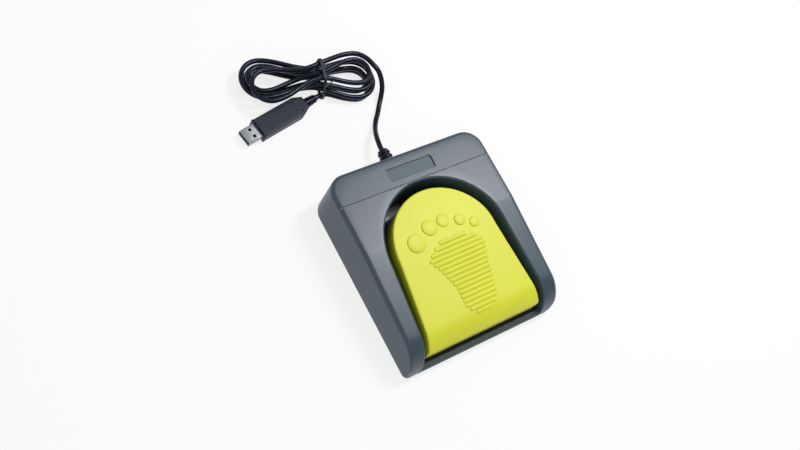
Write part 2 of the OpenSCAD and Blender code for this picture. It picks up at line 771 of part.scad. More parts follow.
module clamp_screws() {
    color("#9a9da0") at_clamp_bolts() {
        translate([0, 0, base_top + 1]) cylinder(d = clamp_screw_d, h = cable_z + clamp_h - base_top - 1);
        translate([0, 0, cable_z + clamp_h]) cylinder(d = clamp_head_d, h = clamp_head_h);
    }
}

// Two leads from the cable's end, under the rim wall and along the base, to two switch terminals
module lead_wires() {
    floor_z = base_top + wire_d / 2 + 0.1;
    tab_y = switch_y0 + switch_l / 2 + terminal_l;
    for (s = [-1, 1]) {
        end_z = switch_z + terminal_z[s < 0 ? 0 : 2] + terminal_t / 2;
        fall = cable_z - floor_z;
        route = [
            [s * wire_d * 0.62, inner_end_y, cable_z],
            [s * wire_d * 0.62, inner_end_y - wire_d, cable_z],
            [s * wire_apart * 0.4, inner_end_y - wire_bend * 0.33, floor_z + fall * 0.64],
            [s * wire_apart * 0.67, inner_end_y - wire_bend * 0.58, floor_z + fall * 0.16],
            [s * wire_apart * 0.83, inner_end_y - wire_bend, floor_z],
            [s * wire_apart, tab_y + wire_bend * 2, floor_z],
            [s * wire_apart, tab_y + wire_bend, floor_z],
            [s * wire_apart * 0.8, tab_y + wire_bend * 0.58, (floor_z + end_z) / 2],
            [s * wire_apart * 0.3, tab_y + wire_bend * 0.2, end_z],
            [s * wire_d / 2, tab_y + wire_d, end_z],
            [s * wire_d / 2, tab_y, end_z]
        ];
        color(s < 0 ? "#b5342c" : "#3a3d42") tube(route, wire_d, 8, [0, -1, 0], [0, -1, 0]);
    }
}

// Turn from the hank's own frame, along and across it, to the table
function turned(p, angle) = [p.x * cos(angle) - p.y * sin(angle), p.x * sin(angle) + p.y * cos(angle)];
function from_hank(p) = let (q = hank_at + turned([p.x, p.y], hank_turn)) [q.x, q.y, p.z];
function to_hank(p) = let (q = turned([p.x, p.y] - hank_at, -hank_turn)) [q.x, q.y, p.z];

plug_mouth = let (q = plug_at + turned([plug_l + boot_l, 0], plug_turn)) [q.x, q.y, plug_mid];
plug_dir = turned([-1, 0], plug_turn - hank_turn);

function eased(s) = (1 - cos(180 * max(0, min(1, s)))) / 2;
function leaned(p, angle) = [tie_u, 0] + turned(p - [tie_u, 0], angle);
function lifted(p, z) =
    let (d = abs(p.x - tie_u))
    [p.x, p.y, z + (d < waist_l ? tie_lift * (1 + cos(180 * d / waist_l)) / 2 : 0)];

// Folds of the hank, even ones at the right: layer from the top, radius, reach and lean. The first
// layer winds one way round, and a run across the waist turns the rest the other way
function fold_layer(i) = floor(i / 3);
function fold_z(i) = lie + hank_layer * (hank_top - fold_layer(i));
function fold_side(i) = i % 2 == 0 ? 1 : -1;
function fold_way(i) = i < 3 ? 1 : -1;
function fold_r(i) = hank_r_in + hank_step / 2 * (fold_layer(i) % 2 == 0 ? 2 - i % 3 : i % 3);
function fold_reach(i) = hank_half + (i % 2 == 0 ? 0 : hank_left_more[fold_layer(i)]);
function fold_lean(i) = i % 2 == 0 ? hank_lean_right[fold_layer(i)] : hank_lean_left[fold_layer(i)];
function fold_uv(i, s) =
    let (angle = (i % 2 == 0 ? 0 : 180) + fold_way(i) * (180 * s - 90))
    leaned([fold_side(i) * fold_reach(i), 0] + fold_r(i) * [cos(angle), sin(angle)], fold_lean(i));

// Run from a fold to the next one, drawn in at the waist; it goes down a layer where they differ
function run_point(i, s) =
    let (u = fold_side(i) * (fold_reach(i) * (1 - s) - fold_reach(i + 1) * s),
         reach = u * fold_side(i) > 0 ? fold_reach(i) : fold_reach(i + 1),
         r = fold_r(i) + (fold_r(i + 1) - fold_r(i)) * eased((s - 0.05) / 0.9),
         crossing = fold_way(i) != fold_way(i + 1),
         v = fold_side(i) * fold_way(i) * (r - hank_draw * (1 + cos(180 * u / reach)) / 2),
         left = i % 2 == 0 ? i + 1 : i,
         right = i % 2 == 0 ? i : i + 1,
         lean = fold_lean(left)
                + (fold_lean(right) - fold_lean(left)) * eased((u - tie_u + waist_l / 2) / waist_l),
         down = crossing ? eased((s - 0.1) / 0.7) : eased((s - 0.25) / 0.55))
    lifted(leaned([u, v * (crossing ? cos(180 * s) : 1)], lean),
           fold_z(i) + (fold_z(i + 1) - fold_z(i)) * down);

// Curve from the last fold to the plug's strain relief, in the hank's frame
mouth = to_hank(plug_mouth);
mouth_lead = [mouth.x, mouth.y] - cable_d * plug_dir;
function exit_point(s) =
    let (last = hank_folds - 1,
         a = fold_uv(last, 1),
         b = a - turned([16, 0], fold_lean(last)),
         c = mouth_lead - 9 * plug_dir,
         p = pow(1 - s, 3) * a + 3 * s * pow(1 - s, 2) * b + 3 * s * s * (1 - s) * c
             + pow(s, 3) * mouth_lead,
         up = eased(4 * s - 3))
    [p.x, p.y, lifted(p, fold_z(last)).z * (1 - up) + mouth.z * up];

// Whole path of the hank, with so many points a loop, from the tail to the plug
hank_start_dir = turned([-sin(hank_start_angle), cos(hank_start_angle)], fold_lean(0));
function hank_path(n) = concat(
    [lifted(fold_uv(0, hank_start) - cable_d * hank_start_dir, fold_z(0))],
    [for (i = [0 : hank_folds - 1]) each concat(
        [for (k = [i == 0 ? n / 4 * hank_start : 0 : n / 4]) lifted(fold_uv(i, 4 * k / n), fold_z(i))],
        i < hank_folds - 1 ? [for (k = [1 : n / 4 - 1]) run_point(i, 4 * k / n)] : [])],
    [for (k = [1 : n / 4]) exit_point(4 * k / n)],
    [mouth]
);

// Least gap between the cable and itself, measured from points to stretches of its path
function to_stretch(p, a, b) =
    let (t = max(0, min(1, (p - a) * (b - a) / ((b - a) * (b - a))))) norm(p - a - t * (b - a));
function least_gap(path, apart) = min([for (i = [0 : len(path) - 1 - apart],
     j = [i + apart : len(path) - 2])
    to_stretch(path[i], path[j], path[j + 1])]) - cable_d;

module cable_tail() {
    start = from_hank(hank_path(24)[0]);
    route = concat([for (p = tail_route) [p.x, relief_tip_y + p.y, p.z]], [start]);
    color("#26282b") tube(route, cable_d, 8, [0, 1, 0], concat(turned(hank_start_dir, hank_turn), [0]));
}

module cable_hank() {
    path = [for (p = hank_path(24)) from_hank(p)];
    echo("hank least gap to itself in mm", least_gap(hank_path(48), 12));
    color("#26282b") tube(path, cable_d, 6, concat(turned(hank_start_dir, hank_turn), [0]),
                          concat(turned([-1, 0], plug_turn), [0]));
}

// Places, across the hank and in height, where the cable passes the tie
function at_tie(path) = [for (i = [0 : len(path) - 2])
    if ((path[i].x - tie_u) * (path[i + 1].x - tie_u) < 0)
        let (t = (tie_u - path[i].x) / (path[i + 1].x - path[i].x),
             p = path[i] + t * (path[i + 1] - path[i]))
            [p.y, p.z]];

// Tie drawn round the waist of the hank, taking in the lead to the plug
module cable_tie() {
    strands = at_tie(hank_path(24));
    module round_strands(more) {
        hull() for (p = strands) translate(p) circle(r = cable_d / 2 + more, $fn = 32);
    }
    color("#1f2123") translate([hank_at.x, hank_at.y, 0]) rotate([0, 0, hank_turn])
        translate([tie_u - tie_w / 2, 0, 0]) rotate([90, 0, 90]) linear_extrude(tie_w) difference() {
            round_strands(tie_fit + tie_t);
            round_strands(tie_fit);
        }
}

module at_plug() {
    translate([plug_at.x, plug_at.y, 0]) rotate([0, 0, plug_turn]) children();
}

// Strain relief moulded on the cable at the plug, its neck held between the case halves
module plug_boot() {
    ribs = 4;
    pitch = boot_l / ribs;
    function cone_r(x) = (boot_d + (boot_tip_d - boot_d) * x / boot_l) / 2;
    profile = concat(
        [[0, -boot_neck_l], [boot_neck_d / 2, -boot_neck_l], [boot_neck_d / 2, 0]],
        [for (k = [0 : ribs - 1]) each [
            [cone_r(k * pitch), k * pitch], [cone_r((k + 0.55) * pitch), (k + 0.55) * pitch],
            [cone_r((k + 0.55) * pitch) - 0.7, (k + 0.55) * pitch],
                 [cone_r((k + 1) * pitch) - 0.5, (k + 1) * pitch]]],
        [[0, boot_l]]
    );
    color("#222427") at_plug() translate([plug_l, 0, plug_mid]) rotate([0, 90, 0]) rotate_extrude()
        polygon(profile);
}

module plug_outline() {
    w = plug_w / 2;
    polygon([[0, -w], [plug_l - plug_chamfer, -w], [plug_l, -w + plug_chamfer_in],
             [plug_l, w - plug_chamfer_in], [plug_l - plug_chamfer, w], [0, w]]);
}

// Hollow of the plug case: room for the board, the shell's rear end and the strain relief's neck
module plug_hollow() {
    inner_l = plug_l - plug_chamfer - 2 * plug_wall;
    translate([2 * plug_wall, -plug_w / 2 + plug_wall, plug_wall])
        cube([inner_l, plug_w - 2 * plug_wall, plug_h - 2 * plug_wall]);
    translate([-over, -usb_w / 2, plug_mid - usb_h / 2]) cube([usb_in + over, usb_w, usb_h]);
    translate([plug_l - boot_neck_l, 0, plug_mid]) rotate([0, 90, 0])
        cylinder(d = boot_neck_d, h = boot_neck_l + over);
    translate([inner_l, 0, plug_mid]) rotate([0, 90, 0]) cylinder(d = cable_d, h = plug_l);
}

module plug_case_lower() {
    color("#2d3034") at_plug() difference() {
        union() {
            linear_extrude(plug_mid) plug_outline();
            translate([0, -plug_w / 2 - lip_out, 0]) cube([lip_l, plug_w + 2 * lip_out, plug_mid]);
        }
        plug_hollow();
    }
}

module plug_case_upper() {
    panel_depth = 0.3;
    color("#2d3034") at_plug() difference() {
        union() {
            translate([0, 0, plug_mid]) linear_extrude(plug_h - plug_mid) plug_outline();
            translate([0, -plug_w / 2 - lip_out, plug_mid])
                cube([lip_l, plug_w + 2 * lip_out, plug_h - plug_mid]);
        }
        plug_hollow();
        translate([plug_l * 0.415, 0, plug_h - panel_depth]) linear_extrude(over)
            round_rect(plug_l * 0.71, plug_w * 0.68, 1.2);
        for (s = [-1, 1]) translate([plug_l * 0.85, s * plug_w * 0.32, plug_h - panel_depth])
            cylinder(d = 1.1, h = over);
    }
}

module plug_board() {
    color("#2f6b45") at_plug() translate([usb_in + board_gap, -board_w / 2, plug_wall])
        cube([board_l, board_w, board_t]);
}

module board_chips() {
    color("#1d1f22") at_plug() translate([usb_in + board_gap, 0, plug_wall + board_t]) {
        translate([9, -3.5, 0]) cube([7, 7, 1.2]);
        translate([20, -3, 0]) cube([3.2, 2.5, 0.9]);
        translate([20, 1, 0]) cube([3.2, 2.5, 0.9]);
    }
}

module usb_shell() {
    window = 2.3;
    color("#d6d8da") at_plug() difference() {
        translate([-usb_l, -usb_w / 2, plug_mid - usb_h / 2]) cube([usb_l + usb_in, usb_w, usb_h]);
        translate([-usb_l - over, -usb_w / 2 + usb_t, plug_mid - usb_h / 2 + usb_t])
            cube([usb_l + usb_in + 2 * over, usb_w - 2 * usb_t, usb_h - 2 * usb_t]);
        for (s = [-1, 1])
            translate([-usb_l * 0.42, s * usb_w * 0.24, plug_mid])
                cube([window, window, 2 * usb_h], center = true);
    }
}

module usb_tongue() {
    tongue_t = (usb_h - 2 * usb_t) / 2;
    color("#e9e9e6") at_plug()
        translate([-usb_l + 0.4, -usb_w / 2 + usb_t, plug_mid - usb_h / 2 + usb_t])
            cube([usb_l + usb_in - 0.4, usb_w - 2 * usb_t, tongue_t - 0.1]);
}

module usb_contacts() {
    contact_z = plug_mid - 0.1;
    color("#d9b75a") at_plug() for (y = [-3.5, -1.1, 1.1, 3.5])
        translate([-usb_l + 2, y - 0.5, contact_z]) cube([usb_l + usb_in - 3, 1, 0.2]);
}

upper_housing();
base_plate();
pedal();
hinge_pin();
hinge_clips();
pedal_bushes();
return_spring_left();
return_spring_right();
switch_case();
switch_plunger();
switch_lever();
switch_terminals();
switch_screws();
bump_stops();
rubber_feet();
case_screws();
strain_relief();
inner_cable();
cable_clamp();
clamp_screws();
lead_wires();
cable_tail();
cable_hank();
cable_tie();
plug_boot();
plug_case_lower();
plug_case_upper();
plug_board();
board_chips();
usb_shell();
usb_tongue();
usb_contacts();
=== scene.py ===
# Foot pedal switch on a USB lead: a yellow treadle in a grey moulded housing, and a black lead
# wound into a tied hank, ending in a boxy plug. Sizes are in millimetres; meshes are in metres.
import math

import bmesh
import bpy
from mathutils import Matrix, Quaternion, Vector


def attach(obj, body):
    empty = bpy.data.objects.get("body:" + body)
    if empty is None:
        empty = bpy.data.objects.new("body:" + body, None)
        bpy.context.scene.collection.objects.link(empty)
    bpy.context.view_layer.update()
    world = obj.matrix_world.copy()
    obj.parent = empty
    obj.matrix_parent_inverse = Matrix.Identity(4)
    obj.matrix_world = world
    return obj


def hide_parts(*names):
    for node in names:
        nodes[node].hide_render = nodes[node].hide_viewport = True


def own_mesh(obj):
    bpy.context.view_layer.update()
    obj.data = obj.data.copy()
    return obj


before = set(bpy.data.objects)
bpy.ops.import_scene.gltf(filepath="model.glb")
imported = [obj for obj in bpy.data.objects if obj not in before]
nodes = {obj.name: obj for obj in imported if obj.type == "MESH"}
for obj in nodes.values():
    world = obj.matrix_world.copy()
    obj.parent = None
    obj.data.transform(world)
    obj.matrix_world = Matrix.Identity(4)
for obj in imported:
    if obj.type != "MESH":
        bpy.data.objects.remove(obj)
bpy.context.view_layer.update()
scene = bpy.context.scene
scene.view_settings.view_transform = "Standard"
mm = 0.001


# Camera. It looks down on the pedal from the left and a little in front, and is rolled so that the
# housing stands aslant in the picture, with the hank and the plug at the upper left.
camera = bpy.data.objects.new("camera", bpy.data.cameras.new("camera"))
scene.collection.objects.link(camera)
scene.camera = camera
camera.data.lens = 47.07
camera.location = (-0.3557, -0.1346, 0.6430)
camera_aim = Vector((-0.00925, 0.03117, 0.0))
camera_roll = math.radians(39.1)
look = (camera_aim - camera.location).to_track_quat("-Z", "Y")
camera.rotation_euler = (look @ Quaternion((0, 0, 1), camera_roll)).to_euler()


# Cable. A round lead in a black soft plastic jacket. It droops from the strain relief to the table,
# climbs on to the hank and is wound by hand into four leaning layers, drawn in at the waist by a
# tie. It follows the route of the solids.
cable_d = 3.8
lie = cable_d / 2 + 0.1
relief_tip = Vector((0, 84, 13))
tail_route = [
    (0, 0, 13), (0.2, 4, 13), (1.2, 8, 12.2), (3.5, 13, 9.6), (6.6, 18, 6.2), (10.2, 23, 3.2),
    (14, 28, lie), (18, 32.5, lie), (22.3, 38, lie), (26.4, 43.5, 3.6), (29.4, 49, 7),
    (30.3, 55, 11), (29.4, 60.5, 14.3),
]
hank_centre = Vector((-22.3, 155.9))
hank_turn = math.radians(-13)
hank_half = 35
loop_step = cable_d + 1.5
layer_step = cable_d + 0.65
inner_r = 2.6 * cable_d
fold_count, layer_folds, points_a_fold = 11, 3, 24
lean_right = (1, -1, -3, -7)
lean_left = (8, -3, -4, -6)
left_more = (-1, 1, -1, 2)
start_share = 2 / 3
waist_draw, waist_l = 7.2, 26
tie_u, tie_t, tie_fit = 8, 0.9, 0.65
tie_lift = tie_t + tie_fit + 0.3
plug_front = Vector((-76, 131.9))
plug_turn = math.radians(11.5)
plug_l, plug_mid = 43.5, 4.4
boot_l = 10.5
leave_l, meet_l, boot_grip = 16, 9, 2


def turned(u, v, angle):
    c, s = math.cos(angle), math.sin(angle)
    return Vector((u * c - v * s, u * s + v * c))


def on_table(p):
    """A point of the hank's own frame, along and across it, on the table."""
    q = hank_centre + turned(p[0], p[1], hank_turn)
    return Vector((q.x, q.y, p[2]))


def eased(s):
    """Goes gently from 0 to 1 as s does."""
    return (1 - math.cos(math.pi * max(0, min(1, s)))) / 2


def leaned(u, v, degrees):
    """A point turned about the tie, as the layers lean across each other."""
    return Vector((tie_u, 0)) + turned(u - tie_u, v, math.radians(degrees))


def lifted(p, z):
    """A point at a height, raised near the tie, which passes under the hank."""
    d = abs(p.x - tie_u)
    rise = tie_lift * (1 + math.cos(math.pi * d / waist_l)) / 2 if d < waist_l else 0
    return Vector((p.x, p.y, z + rise))


def fold(i):
    """Height, side, way round, radius, reach and lean of a fold; even folds are at the right."""
    layer, place = divmod(i, layer_folds)
    r = inner_r + loop_step / 2 * (place if layer % 2 else layer_folds - 1 - place)
    z = lie + layer_step * (len(lean_right) - 1 - layer)
    way = -1 if layer else 1
    if i % 2:
        return z, -1, way, r, hank_half + left_more[layer], lean_left[layer]
    return z, 1, way, r, hank_half, lean_right[layer]


def fold_point(i, s):
    z, side, way, r, reach, lean = fold(i)
    angle = way * math.pi * (s - 0.5)
    u, v = side * (reach + r * math.cos(angle)), side * r * math.sin(angle)
    return lifted(leaned(u, v, lean), z)


def run_point(i, s):
    """Run from a fold to the next, drawn in at the waist; it sinks where they differ in height."""
    z, side, way, r, reach, lean = fold(i)
    next_z, _, next_way, next_r, next_reach, next_lean = fold(i + 1)
    u = side * (reach * (1 - s) - next_reach * s)
    r += (next_r - r) * eased((s - 0.05) / 0.9)
    waist = math.cos(math.pi * u / (reach if u * side > 0 else next_reach))
    v = side * way * (r - waist_draw * (1 + waist) / 2)
    left, right = (next_lean, lean) if side > 0 else (lean, next_lean)
    lean = left + (right - left) * eased((u - tie_u + waist_l / 2) / waist_l)
    if way == next_way:
        return lifted(leaned(u, v, lean), z + (next_z - z) * eased((s - 0.25) / 0.55))
    v *= math.cos(math.pi * s)
    return lifted(leaned(u, v, lean), z + (next_z - z) * eased((s - 0.1) / 0.7))


def hank_line():
    """The hank in its own frame, from the end of the tail to the plug's strain relief."""
    n = points_a_fold
    lead = math.pi * (start_share - 0.5)
    lead = turned(-math.sin(lead), math.cos(lead), math.radians(lean_right[0]))
    line = [fold_point(0, start_share) - cable_d * lead.to_3d()]
    for i in range(fold_count):
        start = 0 if i else round(n * start_share)
        line += [fold_point(i, k / n) for k in range(start, n + 1)]
        if i < fold_count - 1:
            line += [run_point(i, k / n) for k in range(1, n)]
    ahead = -turned(1, 0, plug_turn - hank_turn)
    mouth = plug_front + turned(plug_l + boot_l, 0, plug_turn) - hank_centre
    mouth = turned(mouth.x, mouth.y, -hank_turn)
    last = line[-1].to_2d()
    bends = [last, last - turned(leave_l, 0, math.radians(lean_right[-1])),
             mouth - (cable_d + meet_l) * ahead, mouth - cable_d * ahead]
    for k in range(1, n + 1):
        s = k / n
        share = ((1 - s) ** 3, 3 * s * (1 - s) ** 2, 3 * s * s * (1 - s), s ** 3)
        p = sum((w * b for w, b in zip(share, bends)), Vector((0, 0)))
        up = eased(4 * s - 3)
        line.append(Vector((p.x, p.y, lifted(p, lie).z * (1 - up) + plug_mid * up)))
    inside = mouth + boot_grip * ahead
    return line + [Vector((p.x, p.y, plug_mid)) for p in (mouth, inside)]


def smoothed(route, steps):
    """Points of a smooth curve through the points of a route."""
    ends = [2 * route[0] - route[1]] + route + [2 * route[-1] - route[-2]]
    line = []
    for a, b, c, d in zip(ends, ends[1:], ends[2:], ends[3:]):
        for k in range(steps):
            t = k / steps
            line.append(0.5 * (2 * b + (c - a) * t + (2 * a - 5 * b + 4 * c - d) * t * t
                               + (3 * b - a - 3 * c + d) * t ** 3))
    return line


loops = hank_line()
hank = [on_table(p) for p in loops]
tail_points = [Vector((x, relief_tip.y + y, z)) for x, y, z in tail_route]
cable_line = smoothed(tail_points + [hank[0]], steps=3) + hank

cable_curve = bpy.data.curves.new("cable", "CURVE")
cable_curve.dimensions = "3D"
cable_curve.bevel_depth = cable_d / 2 * mm
cable_curve.bevel_resolution = 4
cable_curve.use_fill_caps = True
cable_spline = cable_curve.splines.new("POLY")
cable_spline.points.add(len(cable_line) - 1)
for point, p in zip(cable_spline.points, cable_line):
    point.co = (*(p * mm), 1)
cable = bpy.data.objects.new("cable", cable_curve)
scene.collection.objects.link(cable)


def shade(r, g, b):
    """A colour given in 0 to 255 as it looks on a screen, as Blender counts light."""
    return tuple((c / 255 / 12.92) if c < 10.3 else ((c / 255 + 0.055) / 1.055) ** 2.4
                 for c in (r, g, b))


gloss_drift = 0.04


def surface(name, colour, roughness, tone=0.08, tone_size=12, grain_size=0.4, grain_depth=0.02,
            metal=0.0, shine=0.5):
    """A finish whose colour and gloss drift a little over tone_size, with a fine grain."""
    made = bpy.data.materials.new(name)
    made.use_nodes = True
    tree = made.node_tree
    skin = tree.nodes["Principled BSDF"]
    skin.inputs["Metallic"].default_value = metal
    skin.inputs["Specular IOR Level"].default_value = shine
    place = tree.nodes.new("ShaderNodeTexCoord")
    drift = tree.nodes.new("ShaderNodeTexNoise")
    drift.inputs["Scale"].default_value = 1 / (tone_size * mm)
    drift.inputs["Detail"].default_value = 4
    tree.links.new(place.outputs["Object"], drift.inputs["Vector"])
    tint = tree.nodes.new("ShaderNodeValToRGB")
    darker, paler = tint.color_ramp.elements
    darker.position, paler.position = 0.3, 0.7
    darker.color = (*(c * (1 - tone) for c in colour), 1)
    paler.color = (*(min(1, c * (1 + tone)) for c in colour), 1)
    tree.links.new(drift.outputs["Fac"], tint.inputs["Fac"])
    tree.links.new(tint.outputs["Color"], skin.inputs["Base Color"])
    gloss = tree.nodes.new("ShaderNodeMapRange")
    gloss.inputs["To Min"].default_value = roughness - gloss_drift
    gloss.inputs["To Max"].default_value = roughness + gloss_drift
    tree.links.new(drift.outputs["Fac"], gloss.inputs["Value"])
    tree.links.new(gloss.outputs["Result"], skin.inputs["Roughness"])
    grain = tree.nodes.new("ShaderNodeTexNoise")
    grain.inputs["Scale"].default_value = 1 / (grain_size * mm)
    grain.inputs["Detail"].default_value = 2
    tree.links.new(place.outputs["Object"], grain.inputs["Vector"])
    bump = tree.nodes.new("ShaderNodeBump")
    bump.inputs["Distance"].default_value = grain_depth * mm
    tree.links.new(grain.outputs["Fac"], bump.inputs["Height"])
    tree.links.new(bump.outputs["Normal"], skin.inputs["Normal"])
    return made


jacket = surface("black_jacket", shade(9, 11, 18), 0.28, tone_size=20, grain_size=0.6, shine=0.35)
jacket_skin = jacket.node_tree.nodes["Principled BSDF"]
jacket_skin.inputs["Specular Tint"].default_value = (0.62, 0.72, 1, 1)
cable_curve.materials.append(jacket)
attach(cable, "housing_body")
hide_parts("cable_tail", "cable_hank")


# Cable tie. A narrow black coated strap, drawn tight round the waist of the hank and the lead to
# the plug. Its ends are twisted together and stand out at the side as a short tail, painted pale
# grey as a painted highlight along its twists.
tie_w, tie_steps = 2.2, 96
tie_profile = ((-1, -0.7), (-0.85, -1), (0.85, -1), (1, -0.7),
               (1, 0.7), (0.85, 1), (-0.85, 1), (-1, 0.7))
end_l, end_w, end_t = 6.5, 1.3, 0.6
end_turns, end_steps = 1.5, 30
end_angle = math.radians(150)
end_rise = Vector((2.5, 3.5))
four_corners = ((-1, -1), (1, -1), (1, 1), (-1, 1))


def new_piece(name, points, faces, sharp=35):
    """A mesh piece from points in millimetres, shaded smooth below the sharp angle."""
    mesh = bpy.data.meshes.new(name)
    mesh.from_pydata([tuple(Vector(p) * mm) for p in points], [], faces)
    shape = bmesh.new()
    shape.from_mesh(mesh)
    bmesh.ops.recalc_face_normals(shape, faces=shape.faces)
    shape.to_mesh(mesh)
    shape.free()
    mesh.shade_smooth()
    mesh.set_sharp_from_angle(angle=math.radians(sharp))
    piece = bpy.data.objects.new(name, mesh)
    scene.collection.objects.link(piece)
    return piece


def band(rings, first=0, closed=False):
    """Faces between rings of points that follow each other in a list of points."""
    size = len(rings[0])
    faces = []
    for j in range(len(rings) if closed else len(rings) - 1):
        a, b = first + j * size, first + (j + 1) % len(rings) * size
        faces += [(a + i, a + (i + 1) % size, b + (i + 1) % size, b + i) for i in range(size)]
    return faces


def ringed_piece(name, rings, closed=False, sharp=35):
    """A piece skinned over rings of points, closed from the last to the first or capped."""
    size = len(rings[0])
    last = (len(rings) - 1) * size
    caps = [] if closed else [tuple(range(size)), tuple(range(last, last + size))]
    points = [p for ring in rings for p in ring]
    return new_piece(name, points, band(rings, closed=closed) + caps, sharp)


strands = []
for a, b in zip(loops, loops[1:]):
    if (a.x - tie_u) * (b.x - tie_u) < 0:
        strands.append(a.lerp(b, (tie_u - a.x) / (b.x - a.x)).yz)
tie_rings = []
for k in range(tie_steps):
    turn = 2 * math.pi * k / tie_steps
    out = Vector((math.cos(turn), math.sin(turn)))
    middle = max(strands, key=out.dot) + out * (cable_d / 2 + tie_fit + tie_t / 2)
    ring = []
    for side, thick in tie_profile:
        q = middle + out * thick * tie_t / 2
        ring.append(on_table((tie_u + side * tie_w / 2, q.x, q.y)))
    tie_rings.append(ring)
tie = ringed_piece("tie", tie_rings, closed=True)
tie_strap = surface("tie_strap", shade(22, 28, 38), 0.5, tone_size=4, grain_size=0.5,
                    grain_depth=0.03)
tie.data.materials.append(tie_strap)

end_way = Vector((math.cos(end_angle), math.sin(end_angle)))
end_start = max(strands, key=end_way.dot) + end_way * (cable_d / 2 + tie_fit + tie_t)
end_rings = []
for k in range(end_steps + 1):
    share = k / end_steps
    twist = 2 * math.pi * end_turns * share
    across = Vector((math.cos(twist), math.sin(twist)))
    through = Vector((-across.y, across.x))
    middle = end_start + end_rise * share
    ring = []
    for side, thick in four_corners:
        q = middle + across * side * end_w / 2 + through * thick * end_t / 2
        ring.append(on_table((tie_u + end_l * share, q.x, q.y)))
    end_rings.append(ring)
tie_end = ringed_piece("tie_end", end_rings)
# The tail is the black strap painted pale grey, as a painted highlight along its twists.
end_painted_highlight = surface("tie_end_painted_highlight", shade(84, 92, 104), 0.45, tone_size=4, grain_size=0.5,
                    grain_depth=0.03)
tie_end.data.materials.append(end_painted_highlight)
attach(tie_end, "housing_body")
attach(tie, "housing_body")
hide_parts("cable_tie")


# Plug case. Two halves of black moulded plastic, snapped together round the circuit board, with cut
# corners at the cable, a lip at the mouth, and a shallow panel and two dots in the upper half.
plug_w, plug_h = 15.4, 8.8
cut_l, cut_in = 7, 3
lip_l, lip_out = 1.2, 0.4
case_edge_r, seam_edge_r = 0.9, 0.12
panel_l, panel_w, panel_r, panel_depth = plug_l * 0.71, plug_w * 0.68, 1.2, 0.3
panel_x = plug_l * 0.415
dot_x, dot_y = plug_l * 0.85, plug_w * 0.32
dot_r, dot_depth, dot_sides = 0.75, 0.8, 12
cut_over = 1


def at_plug(p):
    """A point of the plug's own frame, from its mouth towards the cable, on the table."""
    q = plug_front + turned(p[0], p[1], plug_turn)
    return Vector((q.x, q.y, p[2]))


def round_corners(w, h, r, steps=6):
    """Points round a rectangle with round corners."""
    loop = []
    for x, y, start in ((1, 1, 0), (-1, 1, 90), (-1, -1, 180), (1, -1, 270)):
        for k in range(steps + 1):
            a = math.radians(start + 90 * k / steps)
            corner = Vector((x * (w / 2 - r), y * (h / 2 - r)))
            loop.append(corner + r * Vector((math.cos(a), math.sin(a))))
    return loop


def cut_away(piece, cutters, sharp=35):
    """Cuts pieces out of a closed piece and removes them."""
    for cutter in cutters:
        cut = piece.modifiers.new("cut", "BOOLEAN")
        cut.operation = "DIFFERENCE"
        cut.solver = "EXACT"
        cut.object = cutter
    shaped = piece.evaluated_get(bpy.context.evaluated_depsgraph_get())
    mesh = bpy.data.meshes.new_from_object(shaped)
    piece.modifiers.clear()
    piece.data = mesh
    mesh.shade_smooth()
    mesh.set_sharp_from_angle(angle=math.radians(sharp))
    for cutter in cutters:
        bpy.data.objects.remove(cutter)


def prism(name, outline, low, high, place):
    """An upright closed piece over an outline of points."""
    return ringed_piece(name, [[place((p[0], p[1], z)) for p in outline] for z in (low, high)])


def case_outline(inset):
    """The case seen from above, from its mouth to the cable and back, drawn in by an inset."""
    w, back = plug_w / 2 - inset, plug_l - inset
    lip = w + lip_out
    half = [(inset, lip), (lip_l - inset, lip), (lip_l - inset, w),
            (plug_l - cut_l - 0.2 * inset, w), (back, w - cut_in + 0.3 * inset)]
    return half + [(x, -y) for x, y in reversed(half)]


def case_half(name, seam, outer):
    """Half of the plug case: small edge at the seam, larger rounding at the outer face."""
    up = 1 if outer > seam else -1
    levels = [(seam_edge_r, seam), (0, seam + up * seam_edge_r)]
    for degrees in range(0, 91, 18):
        a = math.radians(degrees)
        inset = case_edge_r * (1 - math.cos(a))
        levels.append((inset, outer - up * case_edge_r * (1 - math.sin(a))))
    rings = [[at_plug((x, y, z)) for x, y in case_outline(inset)] for inset, z in levels]
    return ringed_piece(name, rings)


case_lower = case_half("plug_case_lower_shell", plug_mid, 0)
case_upper = case_half("plug_case_upper_shell", plug_mid, plug_h)
panel = [(p.x + panel_x, p.y) for p in round_corners(panel_l, panel_w, panel_r)]
cuts = [prism("panel_cut", panel, plug_h - panel_depth, plug_h + cut_over, at_plug)]
for side in (-1, 1):
    turns = [math.radians(360 / dot_sides * k) for k in range(dot_sides)]
    dot = [(dot_x + dot_r * math.cos(a), side * dot_y + dot_r * math.sin(a)) for a in turns]
    cuts.append(prism("dot_cut", dot, plug_h - dot_depth, plug_h + cut_over, at_plug))
cut_away(case_upper, cuts)
case_plastic = surface("plug_case_plastic", shade(18, 25, 42), 0.45, tone_size=15, grain_size=0.3,
                       grain_depth=0.015, shine=0.4)
for piece, node in ((case_lower, "plug_case_lower"), (case_upper, "plug_case_upper")):
    piece.data.materials.append(case_plastic)
    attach(piece, "housing_body")
    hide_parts(node)


# Circuit board. A green glass-fibre board with its black chips, soldered to the contacts inside the
# plug case.
def dress(name, finish):
    """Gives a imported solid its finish."""
    for place in nodes[name].material_slots:
        place.material = finish


board_lacquer = surface("board_lacquer", shade(44, 104, 66), 0.35, tone_size=3, grain_size=0.3)
dress("plug_board", board_lacquer)
dress("board_chips", surface("chip_resin", shade(28, 30, 33), 0.55, tone_size=2, grain_size=0.15))
